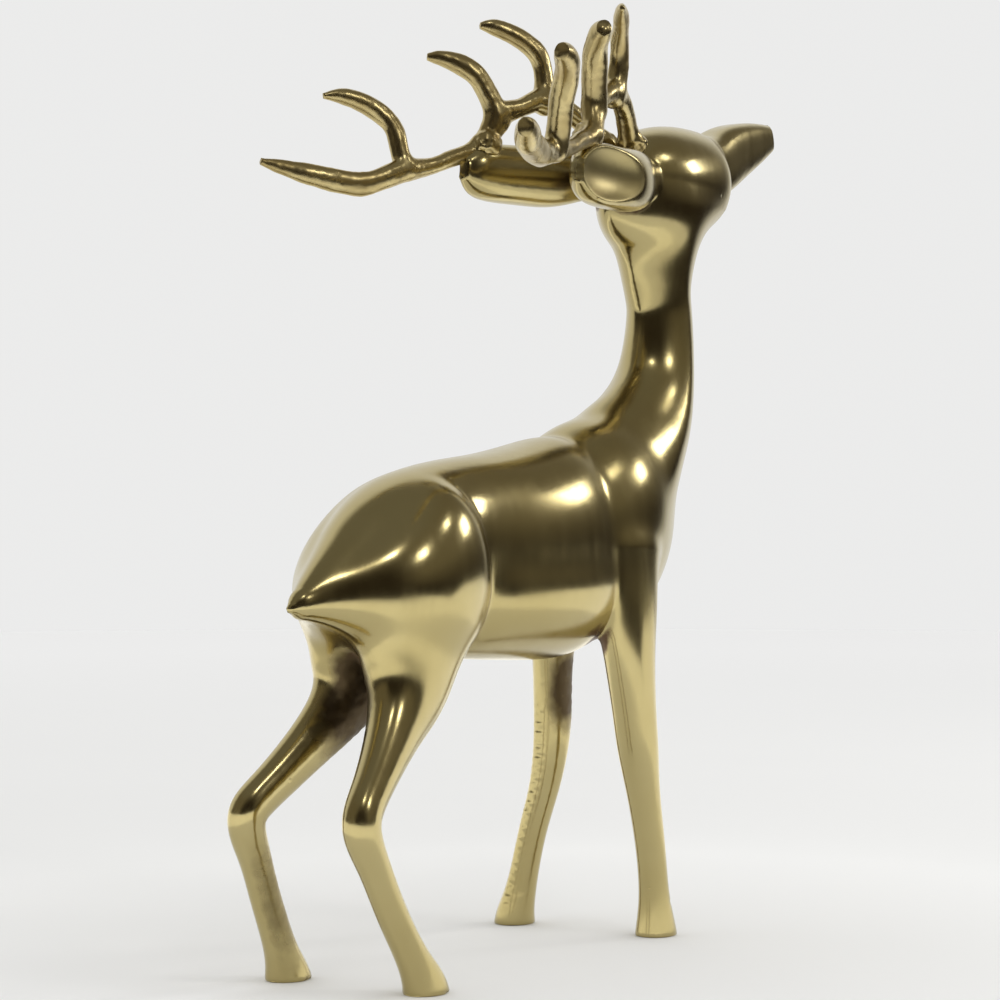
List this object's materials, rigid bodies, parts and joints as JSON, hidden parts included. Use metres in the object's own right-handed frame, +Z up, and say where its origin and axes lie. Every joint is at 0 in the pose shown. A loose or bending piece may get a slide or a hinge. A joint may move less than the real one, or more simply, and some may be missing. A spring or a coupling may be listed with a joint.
{
  "type": "deer figurine",
  "caption": "Standing deer ornament in polished brass-coloured metal, head raised, with laid-back ears and swept-back branched antlers.",
  "frame": {"origin": "middle of the figure's box, on the plane its soles stand on", "axes": "+X the way the deer faces, +Y its left side, +Z up"},
  "size_m": [0.4002, 0.1356, 0.4154],
  "materials": {
    "polished_casting": "mirror-polished brass-coloured casting with fine polishing lines",
    "antler_casting": "as-cast brass-coloured metal, buffed on the high places"
  },
  "bodies": {
    "root": {"deer_body": "polished_casting", "antler_left": "antler_casting", "antler_right": "antler_casting"}
  },
  "joints": []
}
